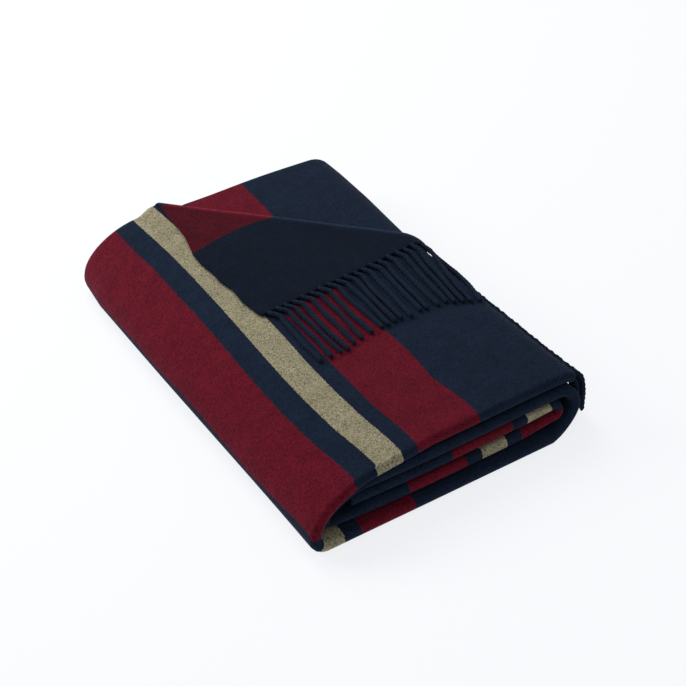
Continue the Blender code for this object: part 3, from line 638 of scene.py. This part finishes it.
def resample(points, spacing):
    """A smooth curve through the points, with even steps."""
    points = np.array(points, dtype=float)
    run = np.concatenate([[0.0], np.cumsum(np.linalg.norm(np.diff(points, axis=0), axis=1))])
    ends = np.vstack([2 * points[0] - points[1], points, 2 * points[-1] - points[-2]])
    dense = []
    for i in range(len(points) - 1):
        p0, p1, p2, p3 = ends[i:i + 4]
        t = np.linspace(0, 1, 12, endpoint=False)[:, None]
        dense.append(0.5 * (2 * p1 + (p2 - p0) * t + (2 * p0 - 5 * p1 + 4 * p2 - p3) * t ** 2
                            + (3 * p1 - p0 - 3 * p2 + p3) * t ** 3))
    dense = np.vstack(dense + [points[-1:]])
    run = np.concatenate([[0.0], np.cumsum(np.linalg.norm(np.diff(dense, axis=0), axis=1))])
    at = np.linspace(0, run[-1], max(4, int(run[-1] / spacing)))
    return np.stack([np.interp(at, run, dense[:, k]) for k in range(3)], axis=-1)


def strands(name, routes):
    """One piece of many twisted strands. A route is its points and their upward directions."""
    verts, faces, twined = [], [], []
    for k, (points, ups) in enumerate(routes):
        path = resample(points, STRAND_STEP)
        where = np.linspace(0, 1, len(ups))
        at = np.linspace(0, 1, len(path))
        up = np.stack([np.interp(at, where, np.array(ups)[:, c]) for c in range(3)], axis=-1)
        n = len(path)
        taper = np.ones(n)
        taper[:2] = (0.75, 0.9)
        taper[-3:] = (0.98, 0.85, 0.45)
        taper *= 1 + 0.05 * np.sin(np.arange(n) * 0.37 + k)
        size = STRAND_RADIUS * (1 + 0.07 * math.sin(2.3 * k))
        rings, run = strand_rings(path, up, size, 1.9 * k, taper)
        base, sides = len(verts), STRAND_SIDES
        verts += rings.reshape(-1, 3).tolist()
        twined += [(r, j / sides, k) for r in run for j in range(sides)]
        for i in range(n - 1):
            for j in range(sides):
                a, b = base + i * sides + j, base + i * sides + (j + 1) % sides
                faces.append((a, b, b + sides, a + sides))
        faces.append(tuple(base + j for j in range(sides - 1, -1, -1)))
        faces.append(tuple(base + (n - 1) * sides + j for j in range(sides)))
    mesh = bpy.data.meshes.new(name)
    mesh.from_pydata(to_frame(np.array(verts)).tolist(), [], faces)
    work = bmesh.new()
    work.from_mesh(mesh)
    bmesh.ops.recalc_face_normals(work, faces=work.faces)
    work.to_mesh(mesh)
    work.free()
    kept = mesh.attributes.new("twined", "FLOAT_VECTOR", "POINT")
    kept.data.foreach_set("vector", np.array(twined, dtype=float).ravel())
    mesh.shade_smooth()
    obj = bpy.data.objects.new(name, mesh)
    bpy.context.collection.objects.link(obj)
    return obj


def flap_strands():
    routes = []
    for k, y in enumerate(ROOT_Y):
        s = end_distance(0.0, y)
        root = cloth(np.array([s + 3 * MM, s + 0.2 * MM]), np.array([y, y]), np.zeros(2))
        first_x = CREASE - y + math.pi * ROLL / math.sqrt(2)
        first_y = CREASE - START_X + s + math.pi * ROLL / math.sqrt(2)
        points = [root[0], root[1]]
        ups = [(0, 0, 1)] * 2
        for i in range(1, 10):
            t = i / 9
            bow = 1.3 * MM * math.sin(math.pi * t) * math.sin(1.7 * k)
            bow += 0.6 * MM * math.sin(2.2 * math.pi * t + 2.1 * k) * math.sin(math.pi * t)
            x = first_x + (TIP_X[k] - first_x) * t + bow
            along = first_y + (TIP_Y[k] - first_y) * t
            n = PLY_PITCH + HALF + STRAND_RADIUS
            n += (REST_HEIGHT - STRAND_RADIUS) * (1 - float(smooth(t * 3)))
            n += OVER_EDGE_RISE * float(smooth((x - OVER_EDGE_X) / OVER_EDGE_OVER))
            at = np.array([float(v) for v in place(START_X - x, along, n)])
            above = np.array([float(v) for v in place(START_X - x, along, n + MM)])
            points.append(at)
            ups.append(above - at)
        routes.append((points, ups))
    return strands("flap_fringe", routes)


def hanging(y, s, first_n, last_n, hump, lean, q, k):
    """Points of a strand that hangs outside the right side and leans along it."""
    points = [cloth(np.array([s + ROOT_INSIDE]), np.array([q]), np.zeros(1))[0]]
    nx, nz = (float(v) for v in spiral_at(s + ROOT_INSIDE)[2:])
    ups = [(nx, 0, nz)]
    stop = FLOOR_CLEARANCE + STRAND_RADIUS
    drop = s - (stop - float(spiral_at(np.array([0.0]))[1][0]))
    for i in range(HANGING_STEPS + 1):
        t = (i / HANGING_STEPS) ** HANGING_POWER
        nx, nz = (float(v) for v in spiral_at(s - drop * t)[2:])
        shift = first_n + (last_n - first_n) * float(smooth(t * 3))
        shift += hump * math.exp(-((drop * t - HUMP_AT) / HUMP_WIDTH) ** 2)
        along = y + lean * (1 - math.exp(-drop * t / LEAN_OVER))
        along += HANGING_WAVE * math.sin(3.1 * t + 2.3 * k)
        points.append(np.array([float(v) for v in place(s - drop * t, along, shift)]))
        ups.append((nx, 0, nz))
    return points, ups


def edge_strands():
    routes = []
    for k in range(EDGE_STRANDS):
        y = EDGE_FIRST + (EDGE_LAST - EDGE_FIRST) * k / (EDGE_STRANDS - 1)
        s = float(end_distance(0.0, y)) - 1.0 * MM
        lean = EDGE_LEAN * float(smooth(y / NEAR_OVER))
        routes.append(hanging(y, s, PLY_PITCH, EDGE_OUT, EDGE_HUMP, lean, y, k))
    return strands("edge_fringe", routes)


def under_strands():
    routes = []
    for k in range(UNDER_STRANDS):
        y = UNDER_FIRST + (UNDER_LAST - UNDER_FIRST) * k / (UNDER_STRANDS - 1)
        s = float(end_distance(0.0, y)) - 1.0 * MM
        q = Q_MIDDLE - (FAR_FOLD - y)
        lean = UNDER_LEAN * float(smooth(y / NEAR_OVER))
        routes.append(hanging(y, s, 0.0, 0.0, 0.0, lean, q, k))
    return strands("inner_fringe", routes)


# Materials

class Nodes:
    """Short hand for wiring a material's nodes."""

    def __init__(self, name):
        self.mat = bpy.data.materials.new(name)
        self.mat.use_nodes = True
        self.tree = self.mat.node_tree
        self.surface = self.tree.nodes["Principled BSDF"]

    def add(self, kind, **settings):
        node = self.tree.nodes.new(kind)
        for key, value in settings.items():
            setattr(node, key, value)
        return node

    def link(self, out, to):
        self.tree.links.new(out, to)

    def math(self, operation, a, b=None):
        node = self.add("ShaderNodeMath", operation=operation)
        for socket, value in zip(node.inputs, (a, b)):
            if value is None:
                continue
            if isinstance(value, (int, float)):
                socket.default_value = value
            else:
                self.link(value, socket)
        return node.outputs[0]

    def noise(self, vector, scale, detail=2.0, roughness=0.5, distortion=0.0):
        node = self.add("ShaderNodeTexNoise")
        node.inputs["Scale"].default_value = scale
        node.inputs["Detail"].default_value = detail
        node.inputs["Roughness"].default_value = roughness
        node.inputs["Distortion"].default_value = distortion
        self.link(vector, node.inputs["Vector"])
        return node.outputs["Fac"]

    def ramp(self, fac, stops, interpolation="LINEAR"):
        node = self.add("ShaderNodeValToRGB")
        node.color_ramp.interpolation = interpolation
        elements = node.color_ramp.elements
        while len(elements) < len(stops):
            elements.new(0.5)
        for element, (place, color) in zip(elements, sorted(stops)):
            element.position = place
            element.color = (*color, 1.0) if len(color) == 3 else color
        self.link(fac, node.inputs["Fac"])
        return node.outputs["Color"]

    def mix(self, fac, a, b, blend="MIX"):
        node = self.add("ShaderNodeMix", data_type="RGBA", blend_type=blend)
        for socket, value in ((node.inputs[0], fac), (node.inputs[6], a), (node.inputs[7], b)):
            if isinstance(value, (int, float)):
                socket.default_value = value
            elif isinstance(value, tuple):
                socket.default_value = (*value, 1.0)
            else:
                self.link(value, socket)
        return node.outputs[2]


def wool_finish(n):
    n.surface.inputs["Roughness"].default_value = 0.92
    n.surface.inputs["Specular IOR Level"].default_value = 0.03
    n.surface.inputs["Sheen Weight"].default_value = 0.05
    n.surface.inputs["Sheen Roughness"].default_value = 0.45
    n.surface.inputs["Sheen Tint"].default_value = (0.62, 0.72, 0.92, 1.0)


def gray(v):
    return (v, v, v)


def cloth_material():
    n = Nodes("milled_wool")
    place_on = n.add("ShaderNodeAttribute", attribute_name="woven").outputs["Vector"]
    split = n.add("ShaderNodeSeparateXYZ")
    n.link(place_on, split.inputs[0])
    # the band's edge follows the picks of the weave, so it is a little ragged
    ragged = n.noise(place_on, 700, 2, 0.6)
    ragged = n.math("MULTIPLY", n.math("SUBTRACT", ragged, 0.5), 2.4 * MM)
    along = n.math("ADD", split.outputs["X"], ragged)
    fac = n.math("DIVIDE", along, BANDS[-1][1] * MM)
    stops, specks = [], []
    at = 0.0
    for name, end in BANDS:
        stops.append((at, COLORS[name]))
        specks.append((at, SPECKS[name]))
        at = end / BANDS[-1][1]
    base = n.ramp(fac, stops, "CONSTANT")
    dark = n.ramp(fac, specks, "CONSTANT")
    # melange fibres: fine squiggles of the darker colour
    fibre = n.noise(place_on, 760, 3, 0.62, 1.6)
    fleck = n.ramp(fibre, [(0.42, gray(1.0)), (0.53, gray(0.0))])
    cloud = n.noise(place_on, 60, 2, 0.5)
    shade = n.ramp(cloud, [(0.25, gray(0.86)), (0.75, gray(1.12))])
    color = n.mix(fleck, base, dark)
    color = n.mix(1.0, color, shade, "MULTIPLY")
    # painted highlight along the crease and painted shade on the turned back flap, multiplied
    # into the colour
    painted_light_fac = n.add("ShaderNodeAttribute", attribute_name="nap_and_painted_light").outputs["Fac"]
    color = n.mix(1.0, color, painted_light_fac, "MULTIPLY")
    n.link(color, n.surface.inputs["Base Color"])
    nap_and_painted_light = n.noise(place_on, 900, 3, 0.6, 0.8)
    soft = n.noise(place_on, 150, 2, 0.5)
    height = n.math("ADD", n.math("MULTIPLY", nap_and_painted_light, 0.35), soft)
    bump = n.add("ShaderNodeBump")
    bump.inputs["Strength"].default_value = 0.5
    bump.inputs["Distance"].default_value = 0.9 * MM
    n.link(height, bump.inputs["Height"])
    n.link(bump.outputs["Normal"], n.surface.inputs["Normal"])
    wool_finish(n)
    return n.mat


def strand_material():
    n = Nodes("twisted_wool")
    place_on = n.add("ShaderNodeTexCoord").outputs["Object"]
    fibre = n.noise(place_on, 900, 3, 0.6, 1.0)
    base = n.ramp(fibre, [(0.30, SPECKS["navy"]), (0.62, COLORS["navy"])])
    n.link(base, n.surface.inputs["Base Color"])
    bump = n.add("ShaderNodeBump")
    bump.inputs["Strength"].default_value = 0.5
    bump.inputs["Distance"].default_value = 0.6 * MM
    n.link(fibre, bump.inputs["Height"])
    n.link(bump.outputs["Normal"], n.surface.inputs["Normal"])
    wool_finish(n)
    return n.mat


# Camera, floor and light

def camera():
    data = bpy.data.cameras.new("camera")
    data.lens = CAMERA_LENS
    data.sensor_width = 36.0
    data.clip_start, data.clip_end = 0.05, 30.0
    obj = bpy.data.objects.new("camera", data)
    right = CAMERA_RIGHT.normalized()
    ahead = CAMERA_AHEAD.normalized()
    up = right.cross(ahead).normalized()
    turned = Matrix((right, up, -ahead)).transposed().to_4x4()
    turned.translation = CAMERA_AT - Vector((*MIDDLE, 0.0))
    obj.matrix_world = turned
    bpy.context.collection.objects.link(obj)
    bpy.context.scene.camera = obj
    return obj


def floor():
    mesh = bpy.data.meshes.new("floor")
    work = bmesh.new()
    bmesh.ops.create_circle(work, cap_ends=True, segments=96, radius=9.0)
    work.to_mesh(mesh)
    work.free()
    obj = bpy.data.objects.new("floor", mesh)
    bpy.context.collection.objects.link(obj)
    mat = bpy.data.materials.new("pale_floor")
    mat.use_nodes = True
    surface = mat.node_tree.nodes["Principled BSDF"]
    surface.inputs["Base Color"].default_value = (0.16, 0.16, 0.16, 1.0)
    surface.inputs["Emission Color"].default_value = (0.925, 0.943, 0.970, 1.0)
    surface.inputs["Emission Strength"].default_value = 0.86
    surface.inputs["Roughness"].default_value = 0.9
    surface.inputs["Specular IOR Level"].default_value = 0.0
    mesh.materials.append(mat)
    return obj


def area_light(name, at, toward, size, energy, color):
    data = bpy.data.lights.new(name, "AREA")
    data.shape = "DISK"
    data.size = size
    data.energy = energy
    data.color = color
    obj = bpy.data.objects.new(name, data)
    obj.location = at
    obj.rotation_mode = "QUATERNION"
    obj.rotation_quaternion = (Vector(toward) - Vector(at)).to_track_quat("-Z", "Y")
    bpy.context.collection.objects.link(obj)
    return obj


def lights():
    world = bpy.data.worlds.new("studio")
    bpy.context.scene.world = world
    world.use_nodes = True
    back = world.node_tree.nodes["Background"]
    back.inputs["Color"].default_value = (0.96, 0.975, 1.0, 1.0)
    back.inputs["Strength"].default_value = 0.48
    for light in LIGHTS:
        area_light(*light)


camera()
floor()
lights()

wool = cloth_material()
twist = strand_material()
throw = blanket()
throw.data.materials.append(wool)
flap_fringe = flap_strands()
edge_fringe = edge_strands()
inner_fringe = under_strands()
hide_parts("blanket")
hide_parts("fringe_flap")
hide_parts("fringe_edge")
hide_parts("fringe_under")
for piece, slot in ((throw, "wool_cloth"), (flap_fringe, "wool_fringe"),
                    (edge_fringe, "wool_fringe"), (inner_fringe, "wool_fringe")):
    if piece is not throw:
        piece.data.materials.append(twist)
    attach(piece, "root" if "root" in frame["bodies"] else sorted(frame["bodies"])[0])
bpy.context.scene.view_settings.view_transform = "Standard"
